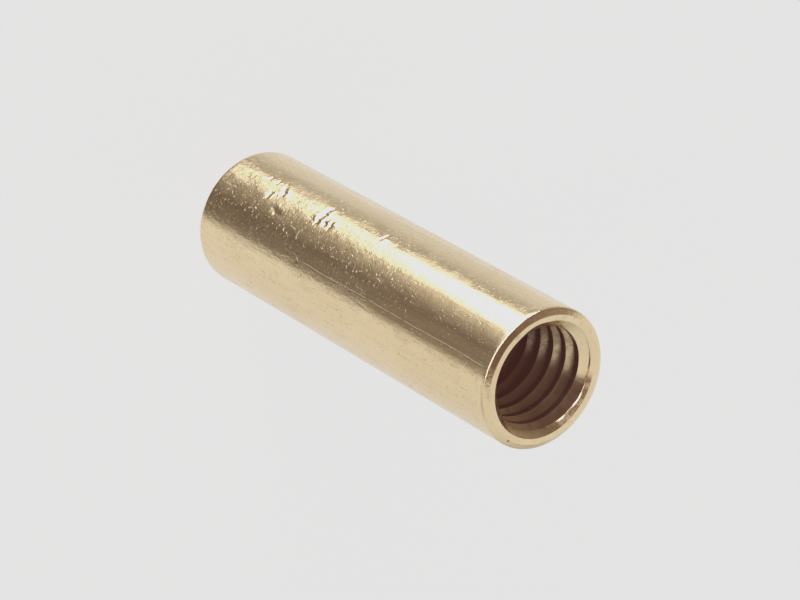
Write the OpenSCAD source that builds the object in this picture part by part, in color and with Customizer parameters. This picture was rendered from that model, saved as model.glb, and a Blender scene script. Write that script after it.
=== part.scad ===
// Threaded sleeve adapter: a turned brass tube with a right-hand female thread
// cut in from each end, countersunk mouths and eased outer edges.
// It stands on one end. +Z runs along the sleeve's axis, and the origin is the
// centre of the lower end face. Millimetres.

/* [Sleeve] */
// Outside diameter of the sleeve
sleeve_d = 6; // [5.9:0.05:8]
// Length over the two end faces
sleeve_len = 20; // [18:0.5:40]
// Width of the eased outer edge, measured across the end face
edge_radial = 0.28; // [0.15:0.01:0.32]
// Depth of the eased outer edge, measured along the sleeve
edge_axial = 0.15; // [0.06:0.01:0.25]
// Radius that blends the eased edge into the side
edge_blend = 0.14; // [0.06:0.02:0.2]

/* [Thread] */
// Major diameter of the female thread
thread_major_d = 5; // [4.99:0.01:5.1]
// Minor diameter of the female thread, measured on its crests
thread_minor_d = 4.26; // [4.22:0.01:4.32]
// Pitch of the thread
thread_pitch = 0.8; // [0.8, 1]
// Depth of the thread from each end face, run-out included
thread_len = 7.6; // [5:0.2:8.2]
// Angle about the axis at which a thread starts
thread_start = 302.5; // [0.5:1:359.5]
// Number of flats that make up one turn of the thread
thread_steps = 36; // [24, 30, 36]

/* [Bore] */
// Diameter of the drilled bore between the two threads
bore_d = 4.2; // [4.1:0.02:4.2]
// Diameter of each countersunk mouth at the end face
mouth_d = 4.96; // [4.6:0.02:4.96]
// Included angle of the countersink
mouth_angle = 90; // [60:5:120]

/* [Hidden] */

R = sleeve_d / 2;
mouth_r = mouth_d / 2;
bore_r = bore_d / 2;
mouth_depth = (mouth_r - bore_r) / tan(mouth_angle / 2);

// the 60 degree thread form, as heights along one pitch from the crest's inner edge
core_r = thread_minor_d / 2;
major_r = thread_major_d / 2;
flank = (major_r - core_r) * tan(30);
root = thread_pitch / 8;
crest = thread_pitch - root - 2 * flank;
// [height, share of the full thread depth]
FORM = [[0, 0], [crest, 0], [crest + flank, 1], [crest + flank + root, 1]];
ROWS = len(FORM);

// the thread cutter starts at the run-out and leaves through the mouth
turns = ceil(thread_len / thread_pitch) + 1;
levels = turns * ROWS + 1;
fade_turns = 1.5;

function turn_of(i, j) = floor(j / ROWS) + i / thread_steps;
function height(i, j) = thread_pitch * turn_of(i, j) + FORM[j % ROWS][0];
// the groove grows to its full depth over the run-out
function depth_share(i, j) = FORM[j % ROWS][1] * min(1, turn_of(i, j) / fade_turns);
function cutter_point(i, j) =
    let (a = 360 * i / thread_steps, r = core_r + (major_r - core_r) * depth_share(i, j))
    [r * cos(a), r * sin(a), height(i, j)];

// index of a cutter point; past a full turn the same row is one turn higher up
function at(i, j) = i < thread_steps ? j * thread_steps + i : (j + ROWS) * thread_steps;

// a male screw form that is cut away from the bore, standing on its run-out end
module thread_cutter() {
    points = [for (j = [0 : levels + ROWS - 1]) for (i = [0 : thread_steps - 1]) cutter_point(i, j)];
    low = len(points);
    side = [for (j = [0 : levels - 2]) for (i = [0 : thread_steps - 1])
        each [[at(i, j), at(i, j + 1), at(i + 1, j + 1)], [at(i, j), at(i + 1, j + 1), at(i + 1, j)]]];
    // each end is a fan about the axis, closed by the step where one turn meets the next
    foot_loop = concat([for (i = [0 : thread_steps - 1]) at(i, 0)], [for (j = [ROWS : -1 : 1]) at(0, j)]);
    top_j = levels - 1;
    head_loop = concat([for (i = [0 : thread_steps - 1]) at(i, top_j)], [for (j = [top_j + ROWS : -1 : top_j + 1]) at(0, j)]);
    foot = [for (k = [0 : len(foot_loop) - 1]) [low, foot_loop[k], foot_loop[(k + 1) % len(foot_loop)]]];
    head = [for (k = [0 : len(head_loop) - 1]) [low + 1, head_loop[(k + 1) % len(head_loop)], head_loop[k]]];
    polyhedron(
        points = concat(points, [[0, 0, thread_pitch / 2], [0, 0, height(0, top_j) + thread_pitch / 2]]),
        faces = concat(side, foot, head),
        convexity = 12
    );
}

// the sleeve's wall in section: plain bore, countersunk mouths, eased outer edges
module wall_section() {
    polygon(concat(
        [[bore_r, mouth_depth], [mouth_r, 0], [R - edge_radial, 0]],
        [for (t = [0 : 0.25 : 1]) eased(t)],
        [for (t = [1 : -0.25 : 0]) let (p = eased(t)) [p[0], sleeve_len - p[1]]],
        [[R - edge_radial, sleeve_len], [mouth_r, sleeve_len], [bore_r, sleeve_len - mouth_depth]]
    ));
}

// the blend between the eased edge and the side, as a curve through three points
function eased(t) =
    let (a = [R - 0.08, edge_axial * (edge_radial - 0.08) / edge_radial], b = [R, edge_axial], c = [R, edge_axial + edge_blend])
    (1 - t) * (1 - t) * a + 2 * t * (1 - t) * b + t * t * c;

module threaded_sleeve() {
    color("darkgoldenrod")
    difference() {
        rotate_extrude($fn = 96) wall_section();
        translate([0, 0, sleeve_len - thread_len]) rotate([0, 0, thread_start]) thread_cutter();
        translate([0, 0, thread_len]) rotate([180, 0, 0]) rotate([0, 0, thread_start]) thread_cutter();
    }
}

threaded_sleeve();
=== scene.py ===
# A threaded brass sleeve, standing on one end on a pale floor, under soft studio light.
import math

import bmesh
import bpy
import numpy as np
from mathutils import Matrix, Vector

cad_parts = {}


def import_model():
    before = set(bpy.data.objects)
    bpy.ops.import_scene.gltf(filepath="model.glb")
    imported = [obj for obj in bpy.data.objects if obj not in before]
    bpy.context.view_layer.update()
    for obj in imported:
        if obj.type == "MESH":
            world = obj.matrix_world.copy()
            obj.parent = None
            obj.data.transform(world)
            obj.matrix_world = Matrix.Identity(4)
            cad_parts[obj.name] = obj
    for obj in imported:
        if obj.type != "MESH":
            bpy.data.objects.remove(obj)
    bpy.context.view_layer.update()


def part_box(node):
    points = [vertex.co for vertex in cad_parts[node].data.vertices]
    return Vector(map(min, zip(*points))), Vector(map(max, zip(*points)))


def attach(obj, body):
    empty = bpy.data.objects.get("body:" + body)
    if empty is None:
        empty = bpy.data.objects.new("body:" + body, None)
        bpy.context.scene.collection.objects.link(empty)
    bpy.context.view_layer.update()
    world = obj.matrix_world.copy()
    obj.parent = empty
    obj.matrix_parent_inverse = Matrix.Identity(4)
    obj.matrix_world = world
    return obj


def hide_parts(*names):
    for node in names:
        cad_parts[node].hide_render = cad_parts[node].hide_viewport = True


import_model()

MM = 0.001
LO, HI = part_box("threaded_sleeve")
R = 3.0  # outer radius, mm
L = 20.0  # length, mm
PITCH, MAJOR, CORE, BORE, MOUTH = 0.8, 2.53, 2.13, 2.1, 2.48  # the tap cuts its roots a little past 2.5
THREAD_LEN = 7.6
FLANK = (MAJOR - CORE) * math.tan(math.radians(30))
ROOT = 0.066
FACING = 0.058  # the flank that faces the mouth leans this much more, mm over its depth
EDGE_R, EDGE_A, BLEND, BLEND_R = 0.28, 0.15, 0.14, 0.08
SIDE = R - 0.006  # the CAD solid's facets lie just inside its round side

# angles here are phi, in degrees, measured about the axis from the camera's side (-Y) towards -X;
# depths are in mm from the open end face


def smoothstep(a, b, x):
    t = np.clip((x - a) / (b - a), 0, 1)
    return t * t * (3 - 2 * t)


# ---------------------------------------------------------------- thread and bore
def thread_form(q):
    """Share of the full thread depth at q, a share of one pitch going in from a crest's inner edge."""
    a, b = FLANK / PITCH, (FLANK + ROOT - FACING) / PITCH
    c = (2 * FLANK + ROOT) / PITCH
    q = np.mod(q, 1.0)
    return np.where(q < a, q / a, np.where(q < b, 1.0, np.where(q < c, (c - q) / (c - b), 0.0)))


def eased_form(q, w=0.018):
    """The same with its corners eased, w a share of one pitch."""
    return sum(thread_form(q + s * w) for s in (-1, -0.5, 0, 0.5, 1)) / 5


def crest_edge(phi):
    """Depth of the first crest's inner edge."""
    return PITCH * ((phi - 180) / 360 + 0.091)


def bore_radius(phi, d):
    """Radius of the threaded, countersunk bore at an angle and a depth, for one end."""
    q = (d - crest_edge(phi)) / PITCH
    share = eased_form(q)
    # the thread runs out over its last turn and a half
    left = (THREAD_LEN - d) / PITCH
    share = share * np.clip(left / 1.5, 0, 1)
    # the crest is slightly torn in places, as a tap leaves it
    wob = 0.008 * np.sin(np.radians(phi) * 7 + d * 2.7) * np.sin(np.radians(phi) * 3 - d * 1.4)
    core = np.where(d < THREAD_LEN, CORE, BORE)
    r = core + (MAJOR - CORE) * share + wob * (share < 0.2) * (d < THREAD_LEN)
    # the edge between the countersink and the first groove is eased, and worn to a flat in two places
    k = 0.012
    cone = MOUTH - d
    r = np.maximum(r, cone) + k / 4 * np.clip(1 - np.abs(r - cone) / k, 0, 1) ** 2
    worn = np.exp(-(((phi - 181.5) / 8) ** 4)) + np.exp(-(((phi - 207.5) / 5.5) ** 4))
    corner = (MOUTH - CORE + crest_edge(phi) / math.tan(math.radians(30))) / (1 + 1 / math.tan(math.radians(30)))
    d0 = corner - (0.046 + 0.008 * np.sin(phi * 0.9)) * worn
    flat = np.where(worn > 0.03, MOUTH - d0 - 0.589 * (d - d0), 0.0)
    return np.maximum(r, np.where(d < 0.6, flat, 0.0))


def threaded_end(n, k_rows, seam):
    """Vertices (phi, r, d) and faces of one end's bore wall, from the face plane in to THREAD_LEN.
    Rows follow the helix, and are held at the two flat ends. Returns the loops at both ends too."""
    total = int(math.ceil(THREAD_LEN / PITCH)) + 1
    feats = [0.0, FLANK / PITCH, (FLANK + ROOT) / PITCH, (2 * FLANK + ROOT) / PITCH]
    qs = []
    spans = [(feats[0], feats[1]), (feats[1], feats[2]), (feats[2], feats[3]), (feats[3], 1.0)]
    share = [0.26, 0.14, 0.28, 0.32]
    for (a, b), s in zip(spans, share):
        m = max(2, int(round(k_rows * s)))
        if m == 2:
            qs += [a, a + 0.04 if (b - a) > 0.2 else (a + b) / 2]
        else:
            inner = np.linspace(a + 0.035, b - 0.035, m - 1)
            qs += [a] + list(inner)
    if k_rows > 12:
        # close rows where the countersink cuts the first flank
        qs = [q for q in qs if not 0 < q < 0.15] + list(np.linspace(0.03, 0.14, 9))
    qs = np.array(sorted(set(np.round(qs, 5))))
    k = len(qs)
    phis = seam + 360.0 * np.arange(n) / n
    pos = np.concatenate([qs + t for t in range(-2, total + 1)])  # in pitches from the crest's inner edge
    pts, rows = [], []
    index = {}

    def vert(i, m):
        wraps, col = divmod(i, n)
        m2 = m + wraps * k
        phi = phis[col]
        p = pos[m2] if m2 < len(pos) else pos[-1]
        d = float(crest_edge(phi) + PITCH * (p))
        # full turns below the seam
        d = min(max(d, 0.0), THREAD_LEN)
        key = (col, round(d, 7))
        if key not in index:
            index[key] = len(pts)
            pts.append((phi, float(bore_radius(np.array(phi), np.array(d))), d))
        return index[key]

    faces = []
    for m in range(len(pos) - 1):
        for i in range(n):
            q = [vert(i, m), vert(i, m + 1), vert(i + 1, m + 1), vert(i + 1, m)]
            out = []
            for v in q:
                if v not in out:
                    out.append(v)
            if len(out) >= 3:
                faces.append(out)
    mouth = [index[(c, 0.0)] for c in range(n)]
    deep = [index[(c, round(THREAD_LEN, 7))] for c in range(n)]
    return pts, faces, mouth, deep


def xyz(phi, r, d):
    a = math.radians(phi)
    return (-r * math.sin(a) * MM, -r * math.cos(a) * MM, (L - d) * MM)


class Shell:
    def __init__(self):
        self.v, self.f = [], []

    def add(self, pts):
        base = len(self.v)
        self.v += pts
        return base

    def strip(self, a, b, closed=True):
        """Quads between two loops of the same length."""
        n = len(a)
        for i in range(n if closed else n - 1):
            j = (i + 1) % n
            self.f.append((a[i], b[i], b[j], a[j]))

    def stitch(self, a, pa, b, pb):
        """Triangles between two loops of different lengths, walked by angle. pa and pb rise over one turn."""
        i = j = 0
        na, nb = len(a), len(b)
        while i < na or j < nb:
            ta = pa[i + 1] if i + 1 < na else pa[0] + 360
            tb = pb[j + 1] if j + 1 < nb else pb[0] + 360
            if j >= nb or (i < na and ta <= tb):
                self.f.append((a[i % na], b[j % nb], a[(i + 1) % na]))
                i += 1
            else:
                self.f.append((a[i % na], b[j % nb], b[(j + 1) % nb]))
                j += 1


# ---------------------------------------------------------------- dents and gouges on the side
# (depth, phi, half length, half width, turn in degrees, how deep, raised lip), in mm; a turn of 90 lies round the sleeve
DENTS = [
    (13.17, 28.0, 0.56, 0.115, 86, 0.034, 0.012),
    (12.72, 23.0, 0.20, 0.110, 70, 0.022, 0.008),
    (12.36, 22.5, 0.25, 0.080, 80, 0.020, 0.006),
    (13.55, 22.0, 0.24, 0.090, 60, 0.018, 0.007),
    (16.08, 29.5, 0.36, 0.095, 62, 0.026, 0.010),
    (16.62, 21.5, 0.25, 0.085, 82, 0.022, 0.008),
    (16.30, 34.0, 0.16, 0.080, 75, 0.016, 0.006),
    (15.57, 11.0, 0.36, 0.125, 4, 0.026, 0.011),
    (9.54, 37.5, 0.25, 0.065, 88, 0.016, 0.006),
    (12.99, -14.5, 0.11, 0.095, 0, 0.024, 0.009),
    (15.80, -4.0, 0.07, 0.065, 0, 0.014, 0.005),
    (11.16, 42.0, 0.08, 0.065, 40, 0.014, 0.005),
    (16.90, 35.0, 0.10, 0.070, 70, 0.016, 0.006),
    (17.40, 34.0, 0.10, 0.070, 75, 0.016, 0.006),
]


def side_relief(phi, d):
    """How far the side stands proud (+) or is pushed in (-), in mm."""
    out = np.zeros_like(phi)
    for d0, p0, half, wide, turn, deep, lip in DENTS:
        x = d - d0
        y = np.radians(phi - p0) * R
        c, s = math.cos(math.radians(turn)), math.sin(math.radians(turn))
        u, v = x * c + y * s, -x * s + y * c
        # their sides are ragged
        v = v + 0.30 * wide * np.sin(u * 13 + d0 * 7) + 0.22 * wide * np.sin(u * 29 + p0 * 3)
        u = u + 0.05 * np.sin(v * 31 + d0 * 5)
        along = np.clip(1 - (u / half) ** 2, 0, 1) ** 0.75
        out -= deep * along * np.exp(-((v / wide) ** 2))
        out += lip * along * np.exp(-(((v - 2.1 * wide) / (0.8 * wide)) ** 2))
    return out


# ---------------------------------------------------------------- the whole sleeve
def eased(t):
    """The edge's bevel turning over into the side."""
    a = (SIDE - BLEND_R, EDGE_A * (EDGE_R - BLEND_R) / EDGE_R)
    b, c = (SIDE, EDGE_A), (SIDE, EDGE_A + BLEND)
    return tuple((1 - t) ** 2 * a[i] + 2 * t * (1 - t) * b[i] + t * t * c[i] for i in (0, 1))


def build_sleeve():
    sh = Shell()
    # bore: open end fine, far end coarser
    n_in = 144
    seam = 0.0
    pts, faces, mouth_a, deep_a = threaded_end(n_in, 20, seam)
    base = sh.add([xyz(*p) for p in pts])
    sh.f += [tuple(base + i for i in f) for f in faces]
    mouth_a = [base + i for i in mouth_a]
    deep_a = [base + i for i in deep_a]
    pts_b, faces_b, mouth_b, deep_b = threaded_end(n_in, 9, seam)

    # the far end is the open end turned over about X: phi goes to 180 - phi
    def turned(phi, r, d):
        x, y, z = xyz(phi, r, d)
        return (x, -y, L * MM - z)

    base_b = sh.add([turned(*p) for p in pts_b])
    sh.f += [tuple(base_b + i for i in f) for f in faces_b]
    mouth_b = [base_b + i for i in mouth_b]
    deep_b = [base_b + i for i in deep_b]
    # the drilled bore between the threads: column c of the far end lies at 180 - phi
    order = [deep_b[(n_in // 2 - c) % n_in] for c in range(n_in)]
    ring = [sh.add([xyz(seam + 360 * c / n_in, BORE, THREAD_LEN) for c in range(n_in)]) + c for c in range(n_in)]
    sh.v[ring[0]:ring[0] + n_in] = [xyz(seam + 360 * c / n_in, BORE, THREAD_LEN + 0.02) for c in range(n_in)]
    ring = [ring[0] + c for c in range(n_in)]
    ring_b = sh.add([xyz(seam + 360 * c / n_in, BORE, L - THREAD_LEN - 0.02) for c in range(n_in)])
    ring_b = [ring_b + c for c in range(n_in)]
    sh.strip(deep_a, ring)
    sh.strip(ring, ring_b)
    sh.strip(ring_b, order)

    # outside: columns close together where the side is marked
    phi_out = np.concatenate([np.arange(-26, 5, 1.2), np.arange(5, 46, 0.6), np.linspace(46, 334, 117)[:-1]])
    n_out = len(phi_out)
    # section from the open end's flat, over the bevelled edge, along the side
    slope = EDGE_A / EDGE_R
    knee = SIDE - EDGE_R
    top = [(SIDE - 0.37, 0.0), (knee - 0.02, 0.0), (knee + 0.01, 0.004), (knee + 0.04, 0.0205)]
    top += [(knee + x, x * slope) for x in (0.09, 0.15)]
    top += [eased(t) for t in (0, 0.12, 0.25, 0.4, 0.55, 0.7, 0.85, 1.0)]
    zs = [EDGE_A + BLEND + 0.08]
    stops = [
        (0.8, 0.14), (9.36, 0.4), (9.72, 0.036), (11.0, 0.32), (11.32, 0.05), (12.2, 0.22), (13.5, 0.034), (15.1, 0.27),
        (15.75, 0.05), (16.95, 0.034), (17.55, 0.05), (L - 0.8, 0.3), (L - EDGE_A - BLEND - 0.08, 0.14),
    ]
    for end, step in stops:
        start = zs[-1]
        m = max(1, int(round((end - start) / step)))
        zs += list(start + (end - start) * np.arange(1, m + 1) / m)
    section = top + [(SIDE, z) for z in zs] + [(r, L - d) for r, d in reversed(top)]
    rows = []
    for r, d in section:
        on_side = EDGE_A + BLEND < d < L - EDGE_A - BLEND
        relief = side_relief(phi_out, np.full(n_out, d)) if on_side else np.zeros(n_out)
        b = sh.add([xyz(p, r + e, d) for p, e in zip(phi_out, relief)])
        rows.append([b + i for i in range(n_out)])
    for a, b in zip(rows, rows[1:]):
        sh.strip(b, a)
    # the two flat end faces
    in_phi = [seam + 360.0 * c / n_in for c in range(n_in)]
    shift = int(np.searchsorted(phi_out, in_phi[0]))
    out_a = rows[0][shift:] + rows[0][:shift]
    out_phi = list(phi_out[shift:]) + [p + 360 for p in phi_out[:shift]]
    sh.stitch(mouth_a, in_phi, out_a, out_phi)
    # far end: its columns run the other way round
    far = [mouth_b[(n_in // 2 - c) % n_in] for c in range(n_in)]
    out_b = rows[-1][shift:] + rows[-1][:shift]
    sh.stitch(far, in_phi, out_b, out_phi)

    mesh = bpy.data.meshes.new("threaded_sleeve_body")
    mesh.from_pydata(sh.v, [], sh.f)
    bm = bmesh.new()
    bm.from_mesh(mesh)
    bmesh.ops.remove_doubles(bm, verts=bm.verts, dist=1e-7)
    bmesh.ops.recalc_face_normals(bm, faces=bm.faces)
    # a closed solid has its volume outside in if the normals are the wrong way round
    if bm.calc_volume(signed=True) < 0:
        bmesh.ops.reverse_faces(bm, faces=bm.faces)
    for f in bm.faces:
        f.smooth = True
    sharp = 0
    for e in bm.edges:
        if len(e.link_faces) == 2 and e.calc_face_angle(0) > 0.42:
            e.smooth = False
            sharp += 1
    open_edges = sum(1 for e in bm.edges if len(e.link_faces) != 2)
    bm.to_mesh(mesh)
    tris = sum(len(f.verts) - 2 for f in bm.faces)
    print("sleeve:", len(bm.verts), "vertices", tris, "triangles", open_edges, "open edges", sharp, "sharp", "volume mm3", round(bm.calc_volume(signed=True) * 1e9, 2))
    bm.free()
    return mesh


# ---------------------------------------------------------------- node helpers
class Nodes:
    def __init__(self, tree):
        self.t = tree

    def new(self, kind, **props):
        n = self.t.nodes.new(kind)
        for k, v in props.items():
            setattr(n, k, v)
        return n

    def link(self, a, b):
        self.t.links.new(a, b)

    def put(self, socket, value):
        if isinstance(value, bpy.types.NodeSocket):
            self.link(value, socket)
        else:
            socket.default_value = value

    def math(self, op, a, b=0.0, c=0.0, clamp=False):
        n = self.new("ShaderNodeMath", operation=op, use_clamp=clamp)
        self.put(n.inputs[0], a)
        self.put(n.inputs[1], b)
        if len(n.inputs) > 2:
            self.put(n.inputs[2], c)
        return n.outputs[0]

    def smooth(self, x, a, b, lo=0.0, hi=1.0):
        n = self.new("ShaderNodeMapRange", interpolation_type="SMOOTHSTEP")
        self.put(n.inputs["Value"], x)
        for name, v in (("From Min", a), ("From Max", b), ("To Min", lo), ("To Max", hi)):
            self.put(n.inputs[name], v)
        return n.outputs["Result"]

    def dot(self, v, w):
        n = self.new("ShaderNodeVectorMath", operation="DOT_PRODUCT")
        self.link(v, n.inputs[0])
        n.inputs[1].default_value = w
        return n.outputs["Value"]

    def mix(self, fac, a, b, kind="FLOAT"):
        n = self.new("ShaderNodeMix", data_type=kind)
        self.put(n.inputs[0], fac)
        ins = {"FLOAT": (2, 3), "RGBA": (6, 7), "VECTOR": (4, 5)}[kind]
        self.put(n.inputs[ins[0]], a)
        self.put(n.inputs[ins[1]], b)
        return n.outputs[{"FLOAT": 0, "RGBA": 2, "VECTOR": 1}[kind]]

    def curve(self, x, stops):
        """A soft curve from x (0 to 1) through the given stops."""
        n = self.new("ShaderNodeFloatCurve")
        self.put(n.inputs["Value"], x)
        pts = n.mapping.curves[0].points
        while len(pts) < len(stops):
            pts.new(0.5, 0.5)
        for p, q in zip(pts, stops):
            p.location = q
            p.handle_type = "AUTO_CLAMPED"
        n.mapping.update()
        return n.outputs[0]

    def ramp(self, x, stops, interpolation="LINEAR"):
        n = self.new("ShaderNodeValToRGB")
        n.color_ramp.interpolation = interpolation
        el = n.color_ramp.elements
        while len(el) < len(stops):
            el.new(0.5)
        for e, (p, v) in zip(el, stops):
            e.position = p
            e.color = (v, v, v, 1) if isinstance(v, (int, float)) else (*v, 1)
        self.put(n.inputs[0], x)
        return n.outputs[0]


# ---------------------------------------------------------------- brass
def brass_material():
    """Bare brass: handled and scratched outside, tarnished brown in the threads, with painted shade there too. Lengths
    are in mm.
    """
    mat = bpy.data.materials.new("brass_turned")
    mat.use_nodes = True
    t = mat.node_tree
    t.nodes.clear()
    N = Nodes(t)
    out = N.new("ShaderNodeOutputMaterial")
    bsdf = N.new("ShaderNodeBsdfPrincipled")
    N.link(bsdf.outputs[0], out.inputs[0])

    mm = N.new("ShaderNodeVectorMath", operation="SCALE")
    N.link(N.new("ShaderNodeTexCoord").outputs["Object"], mm.inputs[0])
    mm.inputs["Scale"].default_value = 1000.0
    p = mm.outputs[0]
    sep = N.new("ShaderNodeSeparateXYZ")
    N.link(p, sep.inputs[0])
    x, y, z = sep.outputs
    rad = N.math("SQRT", N.math("ADD", N.math("MULTIPLY", x, x), N.math("MULTIPLY", y, y)))
    phi = N.math("MULTIPLY", N.math("ARCTAN2", N.math("MULTIPLY", x, -1.0), N.math("MULTIPLY", y, -1.0)), 180 / math.pi)
    depth = N.math("SUBTRACT", L, z)
    near_end = N.math("MINIMUM", z, depth)
    inside = N.smooth(rad, 2.54, 2.46)
    outside = N.smooth(rad, 2.90, 2.97)
    edge = N.math("MULTIPLY", N.smooth(rad, 2.70, 2.76), N.smooth(near_end, 0.34, 0.24))
    face = N.math("MULTIPLY", N.smooth(near_end, 0.02, 0.004), N.smooth(inside, 0.6, 0.2))

    def noise(scale, detail=2.0, rough=0.5, shift=0.0, distortion=0.0):
        """3-D noise, with its own scale along x, y and z, per mm."""
        v = N.new("ShaderNodeVectorMath", operation="MULTIPLY_ADD")
        N.link(p, v.inputs[0])
        v.inputs[1].default_value = scale
        v.inputs[2].default_value = (shift, shift * 0.7 + 3.1, shift * 1.3 - 1.7)
        n = N.new("ShaderNodeTexNoise")
        N.link(v.outputs[0], n.inputs["Vector"])
        n.inputs["Scale"].default_value = 1.0
        n.inputs["Detail"].default_value = detail
        n.inputs["Roughness"].default_value = rough
        n.inputs["Distortion"].default_value = distortion
        return n.outputs[0]

    def near(value, centre, lo, hi):
        """1 within lo of the centre, 0 beyond hi."""
        return N.smooth(N.math("ABSOLUTE", N.math("SUBTRACT", value, centre)), hi, lo)

    def times(*xs):
        v = xs[0]
        for w in xs[1:]:
            v = N.math("MULTIPLY", v, w)
        return v

    def plus(*xs):
        v = xs[0]
        for w in xs[1:]:
            v = N.math("ADD", v, w)
        return v

    # shared patterns
    cloud = noise((0.55, 0.55, 0.22), 1, 0.5, 1.0)
    blotch = noise((1.9, 1.9, 0.9), 4, 0.62, 7.0)
    mottle = noise((7.5, 7.5, 6.0), 2, 0.6, 13.0)
    speck = noise((8.0, 8.0, 7.0), 2, 0.5, 29.0)
    streak = noise((5.2, 5.2, 0.26), 2, 0.6, 17.0)
    # short scratches: long thin cells, kept only in some places
    along = times(N.smooth(noise((15, 15, 1.1), 1, 0.4, 41.0), 0.69, 0.73), N.smooth(noise((1.1, 1.1, 0.5), 1, 0.5, 43.0), 0.50, 0.60))
    round_ = times(N.smooth(noise((2.6, 2.6, 13), 1, 0.4, 47.0), 0.69, 0.73), N.smooth(noise((0.9, 0.9, 0.6), 1, 0.5, 53.0), 0.50, 0.62))
    slant = N.new("ShaderNodeVectorRotate", rotation_type="EULER_XYZ")
    N.link(p, slant.inputs["Vector"])
    slant.inputs["Rotation"].default_value = (0.9, 0.35, 0.2)
    sv = N.new("ShaderNodeVectorMath", operation="MULTIPLY")
    N.link(slant.outputs[0], sv.inputs[0])
    sv.inputs[1].default_value = (13, 1.3, 13)
    sn = N.new("ShaderNodeTexNoise")
    N.link(sv.outputs[0], sn.inputs["Vector"])
    sn.inputs["Scale"].default_value = 1.0
    sn.inputs["Detail"].default_value = 1.0
    skew = N.smooth(sn.outputs[0], 0.70, 0.74)
    # one long scratch down the side, and the tarnished strip beside it
    wander = N.math("MULTIPLY", N.math("SUBTRACT", noise((0.0, 0.0, 0.45), 2, 0.5, 61.0), 0.5), 2.6)
    down = near(N.math("ADD", phi, wander), -14.0, 0.22, 0.62)
    down = times(down, N.smooth(depth, 0.25, 0.6), N.smooth(depth, 12.9, 12.2), N.smooth(noise((0.0, 0.0, 2.1), 2, 0.6, 67.0), 0.33, 0.50))
    marks = N.math("MAXIMUM", N.math("MAXIMUM", along, round_), N.math("MULTIPLY", skew, 0.8))
    marks = times(marks, outside)

    # colour
    def tint(base, fac, colour):
        return N.mix(fac, base, (*colour, 1), "RGBA")

    col = N.mix(N.smooth(cloud, 0.38, 0.64), (0.925, 0.750, 0.480, 1), (0.895, 0.720, 0.450, 1), "RGBA")
    col = tint(col, N.math("MULTIPLY", N.smooth(streak, 0.50, 0.72), 0.14), (0.72, 0.545, 0.335))
    col = tint(col, N.math("MULTIPLY", N.smooth(blotch, 0.54, 0.74), 0.22), (0.66, 0.455, 0.300))
    col = tint(col, N.math("MULTIPLY", N.smooth(mottle, 0.50, 0.80), 0.18), (0.70, 0.53, 0.33))
    col = tint(col, times(N.smooth(speck, 0.69, 0.75), N.mix(outside, 0.15, 0.5)), (0.36, 0.22, 0.14))
    # a browner strip low on the side, above the long scratch
    band = times(near(phi, -4.0, 5.0, 14.0), N.smooth(N.math("ADD", streak, N.math("MULTIPLY", blotch, 0.4)), 0.62, 0.80), outside)
    col = tint(col, N.math("MULTIPLY", band, 0.26), (0.60, 0.43, 0.31))
    # dirt held on the bevel
    bev = times(edge, N.smooth(noise((5.5, 5.5, 1.0), 4, 0.65, 71.0), 0.50, 0.66), N.smooth(N.math("ABSOLUTE", N.math("SUBTRACT", phi, 22)), 74, 44, 0.05, 1.0))
    col = tint(col, N.math("MULTIPLY", bev, 0.45), (0.46, 0.29, 0.20))
    # a stain across the end face, and small spots on it
    stain = times(near(phi, 20.5, 1.0, 4.5), face, N.smooth(depth, 1.0, 0.5), N.smooth(rad, 2.48, 2.62), 0.42)
    col = tint(col, stain, (0.56, 0.36, 0.23))
    col = tint(col, times(face, N.smooth(noise((6.0, 6.0, 1.0), 3, 0.55, 83.0), 0.64, 0.74), 0.5), (0.55, 0.38, 0.24))
    # a small pit on the bevel
    nib = times(near(phi, -89.0, 0.6, 1.7), near(rad, 2.79, 0.02, 0.07), N.smooth(depth, 0.6, 0.4))
    col = tint(col, N.math("MULTIPLY", nib, 0.70), (0.34, 0.23, 0.15))
    # threads: brown tarnish, thickest away from the mouth, with painted shade in it: darker deeper into the bore and on
    # the walls away from the lit wall, which stays bright for its first 0.6 mm
    # the wall the light reaches (phi 60 to 158), kept out of the painted shade near the mouth
    lit_wall = near(phi, 109.0, 49.0, 59.0)
    start = N.mix(lit_wall, 0.06, 0.60)
    tarnish_and_shade = times(inside, N.smooth(N.math("SUBTRACT", near_end, start), 0.0, 0.30))
    # two places on the worn edge are rubbed bare
    # the tarnish and painted shade are taken off the two worn flats on the edge, so their glints stay bright
    bare = N.math("MAXIMUM", near(phi, -152.5, 4.0, 7.0), near(N.math("ABSOLUTE", phi), 180.0, 7.0, 11.0))
    tarnish_and_shade = N.math("MULTIPLY", tarnish_and_shade, N.math("SUBTRACT", 1.0, times(bare, near(near_end, 0.16, 0.07, 0.10))))
    # painted shade: darker deeper into the bore
    deep = N.smooth(near_end, 0.9, 4.2)
    brown = N.mix(N.smooth(blotch, 0.40, 0.66), (0.68, 0.535, 0.335, 1), (0.48, 0.357, 0.215, 1), "RGBA")
    # painted shade: darker brown on the walls away from the lit wall, less of it round phi -95
    brown = tint(brown, times(N.math("SUBTRACT", 1.0, lit_wall), N.math("SUBTRACT", 1.0, times(near(phi, -95.0, 28.0, 50.0), 0.55))), (0.245, 0.158, 0.095))
    brown = N.mix(deep, brown, (0.25, 0.15, 0.105, 1), "RGBA")
    brown = tint(brown, N.math("MULTIPLY", N.smooth(noise((3.6, 3.6, 4.0), 3, 0.6, 91.0), 0.57, 0.65), 0.70), (0.26, 0.135, 0.10))
    col = N.mix(N.math("MULTIPLY", tarnish_and_shade, 0.94), col, brown, "RGBA")
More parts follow.
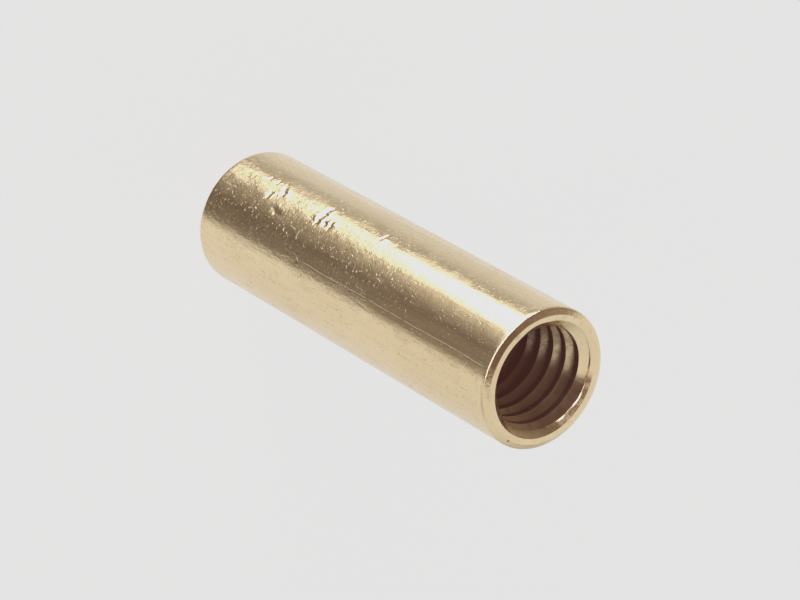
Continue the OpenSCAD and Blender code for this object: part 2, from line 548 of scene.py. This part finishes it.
    # painted shade: a thin dark line where the countersink meets the first flank
    edge_shade_line = N.math("SUBTRACT", depth, N.math("MULTIPLY_ADD", phi, 0.001409, 0.1743 - 0.001409 * 180))
    edge_shade_line = times(near(edge_shade_line, 0.0, 0.010, 0.032), near(phi, 112.0, 46.0, 56.0), inside, 0.62)
    col = tint(col, edge_shade_line, (0.34, 0.235, 0.16))
    N.link(col, bsdf.inputs["Base Color"])

    bsdf.inputs["Metallic"].default_value = 1.0

    # roughness
    rough = N.math("MULTIPLY_ADD", N.smooth(blotch, 0.40, 0.72), 0.12, 0.135)
    rough = N.math("MULTIPLY_ADD", N.smooth(streak, 0.45, 0.70), 0.05, rough)
    rough = N.math("MULTIPLY_ADD", N.smooth(mottle, 0.45, 0.75), 0.06, rough)
    rough = N.math("MULTIPLY_ADD", bev, 0.12, rough)
    rough = N.math("MULTIPLY_ADD", tarnish_and_shade, N.mix(lit_wall, 0.22, 0.12), rough)
    N.link(rough, bsdf.inputs["Roughness"])

    # relief, as a height in mm
    def wave(n, amp):
        return N.math("MULTIPLY", N.math("SUBTRACT", n, 0.5), amp)

    # handled most towards the far end
    worn = N.smooth(depth, 2.0, 13.0, 0.45, 1.0)
    side_h = plus(
        wave(noise((1.7, 1.7, 0.14), 1, 0.5, 101.0), 0.0095),
        wave(streak, 0.0040),
        N.math("MULTIPLY", worn, wave(noise((3.0, 3.0, 1.2), 1, 0.5, 102.0), 0.0090)),
        N.math("MULTIPLY", worn, wave(noise((7.5, 7.5, 4.0), 2, 0.55, 103.0), 0.0058)),
    )
    grain = N.math("MULTIPLY", worn, wave(noise((15, 15, 13), 2, 0.65, 107.0), 0.0040))
    turned = wave(noise((0.5, 0.5, 21), 1, 0.5, 113.0), 0.0010)
    cut = N.math("MULTIPLY", marks, -0.0042)
    busy = times(near(phi, 11.0, 7.0, 17.0), N.smooth(depth, 4.5, 8.0), outside)
    nick = noise((6.5, 6.5, 6.5), 1, 0.4, 137.0)
    pits = plus(
        times(N.smooth(speck, 0.69, 0.76), outside, -0.0085),
        times(N.smooth(nick, 0.66, 0.72), N.mix(busy, 0.25, 1.0), outside, -0.0120),
    )
    line = plus(N.math("MULTIPLY", down, N.math("MULTIPLY", outside, -0.0048)), N.math("MULTIPLY", nib, -0.03))
    h = plus(N.math("MULTIPLY", side_h, outside), grain, turned, cut, pits, line)
    # fine rings left by the tool on the end faces
    rings = N.new("ShaderNodeTexNoise", noise_dimensions="1D")
    N.link(N.math("MULTIPLY", rad, 26.0), rings.inputs["W"])
    rings.inputs["Scale"].default_value = 1.0
    rings.inputs["Detail"].default_value = 2.0
    h = N.math("ADD", h, times(wave(rings.outputs[0], 0.0016), face))
    # radial chatter on the bevel
    h = N.math("ADD", h, times(wave(noise((5.5, 5.5, 0.6), 3, 0.6, 127.0), 0.013), edge))
    h = N.math("ADD", h, times(wave(noise((3.4, 3.4, 3.4), 2, 0.5, 131.0), 0.009), tarnish_and_shade))
    bump = N.new("ShaderNodeBump")
    bump.inputs["Strength"].default_value = 1.0
    bump.inputs["Distance"].default_value = 0.001
    N.link(h, bump.inputs["Height"])
    N.link(bump.outputs[0], bsdf.inputs["Normal"])
    return mat


# ---------------------------------------------------------------- camera, floor and light
PAPER = 0.7835  # the pale paper that the sleeve stands on
# how bright the dim side of the room is, by bearing in degrees round from the front to the left
ROOM = [
    (-60, 0.30), (-46, 0.25), (-30, 0.23), (-14, 0.22), (0, 0.18), (8, 0.24), (16, 0.29), (24, 0.32), (32, 0.36), (40, 0.40),
    (56, 0.42), (80, 0.39), (88, 0.40), (96, 0.50), (104, 0.62), (112, 0.68), (120, 0.71), (136, 0.72), (152, 0.765), (180, 0.75),
]


def camera():
    cam = bpy.data.cameras.new("camera")
    ob = bpy.data.objects.new("camera", cam)
    bpy.context.collection.objects.link(ob)
    cam.sensor_fit = "HORIZONTAL"
    cam.sensor_width = 36.0
    cam.lens = 151.148
    right = (-0.493589, 0.632237, 0.597199)
    up = (-0.869696, -0.358821, -0.338935)
    back = (0.0, -0.686676, 0.726964)
    loc = (0.0000686, -0.0948671, 0.0910122 + L * MM)
    ob.matrix_world = Matrix([(right[i], up[i], back[i], loc[i]) for i in range(3)] + [(0, 0, 0, 1)])
    cam.clip_start = 0.001
    cam.clip_end = 10
    bpy.context.scene.camera = ob


def floor():
    bm = bmesh.new()
    bmesh.ops.create_grid(bm, x_segments=1, y_segments=1, size=3.0)
    mesh = bpy.data.meshes.new("floor")
    bm.to_mesh(mesh)
    bm.free()
    ob = bpy.data.objects.new("floor", mesh)
    bpy.context.collection.objects.link(ob)
    ob.location.z = float(LO[2])
    mat = bpy.data.materials.new("floor_pale")
    mat.use_nodes = True
    t = mat.node_tree
    t.nodes.clear()
    N = Nodes(t)
    out = N.new("ShaderNodeOutputMaterial")
    mixs = N.new("ShaderNodeAddShader")
    dif = N.new("ShaderNodeBsdfDiffuse")
    em = N.new("ShaderNodeEmission")
    dif.inputs["Color"].default_value = (0.10, 0.10, 0.10, 1)
    em.inputs["Color"].default_value = (1, 1, 1, 1)
    em.inputs["Strength"].default_value = 0.716
    N.link(dif.outputs[0], mixs.inputs[0])
    N.link(em.outputs[0], mixs.inputs[1])
    N.link(mixs.outputs[0], out.inputs[0])
    mesh.materials.append(mat)
    # the sleeve mirrors the studio round it, not this floor
    ob.visible_glossy = False
    ob.visible_diffuse = False
    ob.visible_shadow = False
    return ob


def world():
    studio = bpy.data.worlds.new("studio")
    bpy.context.scene.world = studio
    studio.use_nodes = True
    t = studio.node_tree
    t.nodes.clear()
    N = Nodes(t)
    out = N.new("ShaderNodeOutputWorld")
    coord = N.new("ShaderNodeTexCoord")
    d = coord.outputs["Generated"]
    # axes of the studio: a points down the sleeve, v to the front, u to its left, s out from a white sweep
    a = N.dot(d, (0, 0, -1))
    v = N.dot(d, (0, -1, 0))
    u = N.dot(d, (-1, 0, 0))
    s = N.dot(d, (-0.7314, -0.6820, 0))
    psi = N.math("MULTIPLY", N.math("ARCTAN2", u, v), 180 / math.pi)
    theta = N.math("MULTIPLY", N.math("ARCCOSINE", a), 180 / math.pi)

    # the dim side of the room, paler round towards the back
    room = N.curve(
        N.math("DIVIDE", N.math("ADD", psi, 60), 240, clamp=True),
        [((x + 60) / 240, y) for x, y in ROOM],
    )
    room = N.math("MULTIPLY", room, N.math("MAXIMUM", N.smooth(theta, 38.5, 43.5, 0.50, 1.0), N.smooth(psi, 52, 84)))
    # its dark parts are warm, and overhead it is a dark brown
    w = N.smooth(room, 0.5, 0.15)
    tinted = N.new("ShaderNodeCombineColor")
    for i, k in enumerate((0.12, -0.03, -0.16)):
        N.link(N.math("MULTIPLY", room, N.math("MULTIPLY_ADD", w, k, 1.0)), tinted.inputs[i])
    over = N.mix(N.smooth(psi, 60, 130), (0.158, 0.096, 0.078, 1), (0.30, 0.245, 0.185, 1), "RGBA")
    room = N.mix(N.smooth(theta, 58, 98), tinted.outputs[0], over, "RGBA")
    # the white sweep fills the half away from s
    sweep = N.smooth(N.math("ADD", s, N.smooth(theta, 115, 165, 0.0, 0.22)), 0.085, -0.085)
    pale = N.mix(N.smooth(s, -1.0, -0.35), N.smooth(theta, 40.0, 43.5, 0.76, 0.69), N.smooth(s, -0.35, 0.0, 0.755, 0.79))
    # two soft dark flags stand in front of it, level with the sleeve
    flag_a = N.smooth(N.math("ABSOLUTE", N.math("SUBTRACT", psi, -74)), 30, 6, 0.0, 0.24)
    flag_b = N.smooth(N.math("ABSOLUTE", N.math("SUBTRACT", psi, -148)), 26, 6, 0.0, 0.30)
    flags = N.math("MULTIPLY", N.math("ADD", flag_a, flag_b), N.math("MULTIPLY", N.smooth(theta, 52, 64), N.smooth(theta, 112, 100)))
    pale = N.math("MULTIPLY", pale, N.math("SUBTRACT", 1.0, flags))
    white = N.new("ShaderNodeCombineColor")
    for i in range(3):
        N.link(pale, white.inputs[i])
    level = N.mix(sweep, room, white.outputs[0], "RGBA")
    # the softbox, narrow at its lower end, with a halo towards the front
    lo = N.curve(N.math("DIVIDE", N.math("SUBTRACT", theta, 38), 52, clamp=True), [(0, 0.77), (0.038, 0.745), (0.058, 0.69), (0.079, 0.605), (0.114, 0.475), (0.14, 0.40), (0.5, 0.32), (1, 0.30)])
    hi = N.curve(N.math("DIVIDE", N.math("SUBTRACT", theta, 38), 52, clamp=True), [(0, 0.66), (0.038, 0.65), (0.079, 0.65), (0.114, 0.665), (0.14, 0.685), (0.5, 0.76), (1, 0.78)])
    x = N.math("DIVIDE", psi, 100)
    box = N.math("MULTIPLY", N.smooth(N.math("SUBTRACT", x, lo), -0.03, 0.03), N.smooth(N.math("SUBTRACT", hi, x), -0.055, 0.025))
    box = N.math("MULTIPLY", N.math("MULTIPLY", box, N.smooth(theta, 104.0, 94.0)), N.smooth(theta, 36.0, 42.5, 0.5, 1.0))
    halo = N.math("MULTIPLY", N.smooth(N.math("SUBTRACT", x, lo), -0.34, 0.02), N.smooth(N.math("SUBTRACT", hi, x), -0.02, 0.02))
    halo = N.math("MULTIPLY", N.math("MULTIPLY", halo, N.smooth(theta, 41.0, 46.0, 0.0, 0.58)), N.smooth(theta, 110.0, 92.0))
    # a second, narrow light overhead at the front, which the eased edges catch
    strip = N.math("MULTIPLY", N.smooth(N.math("ABSOLUTE", N.math("SUBTRACT", psi, 8)), 52, 38), N.smooth(N.math("ABSOLUTE", N.math("SUBTRACT", theta, 112)), 18, 13))
    glow = N.math("ADD", N.math("ADD", halo, N.math("MULTIPLY", box, 2.3)), N.math("MULTIPLY", strip, 2.2))
    keep = N.math("SUBTRACT", 1.0, N.math("MAXIMUM", box, strip), clamp=True)
    total = N.new("ShaderNodeVectorMath", operation="SCALE")
    N.link(level, total.inputs[0])
    N.link(keep, total.inputs["Scale"])
    add = N.new("ShaderNodeVectorMath", operation="ADD")
    N.link(total.outputs[0], add.inputs[0])
    lights = N.new("ShaderNodeCombineXYZ")
    for i in range(3):
        N.link(glow, lights.inputs[i])
    N.link(lights.outputs[0], add.inputs[1])
    lit = N.new("ShaderNodeBackground")
    N.link(add.outputs[0], lit.inputs["Color"])
    plain = N.new("ShaderNodeBackground")
    plain.inputs["Color"].default_value = (PAPER, PAPER, PAPER, 1)
    path = N.new("ShaderNodeLightPath")
    mix = N.new("ShaderNodeMixShader")
    N.link(path.outputs["Is Camera Ray"], mix.inputs[0])
    N.link(lit.outputs[0], mix.inputs[1])
    N.link(plain.outputs[0], mix.inputs[2])
    N.link(mix.outputs[0], out.inputs["Surface"])


camera()
floor()
world()

scene = bpy.context.scene
scene.view_settings.view_transform = "Standard"
scene.view_settings.look = "None"
# highlights stop at the paper's white, as the photograph's do
scene.view_settings.use_curve_mapping = True
tone = scene.view_settings.curve_mapping
tone.use_clip = False
tone.extend = "HORIZONTAL"
for curve, stops in (
    (3, [(0, 0), (0.795, 0.795)]),
    (0, [(0, 0.040), (0.26, 0.26), (1, 1)]),  # the lens's faint warm veil over the darkest parts
    (1, [(0, 0.0155), (0.20, 0.20), (1, 1)]),
    (2, [(0, 0.0125), (0.16, 0.16), (1, 1)]),
):
    pts = tone.curves[curve].points
    while len(pts) < len(stops):
        pts.new(0.5, 0.5)
    for pt, at in zip(pts, stops):
        pt.location = at
        pt.handle_type = "VECTOR"
tone.update()

mesh = build_sleeve()
sleeve = bpy.data.objects.new("threaded_sleeve_body", mesh)
bpy.context.collection.objects.link(sleeve)
mesh.materials.append(brass_material())
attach(sleeve, "root")
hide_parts("threaded_sleeve")

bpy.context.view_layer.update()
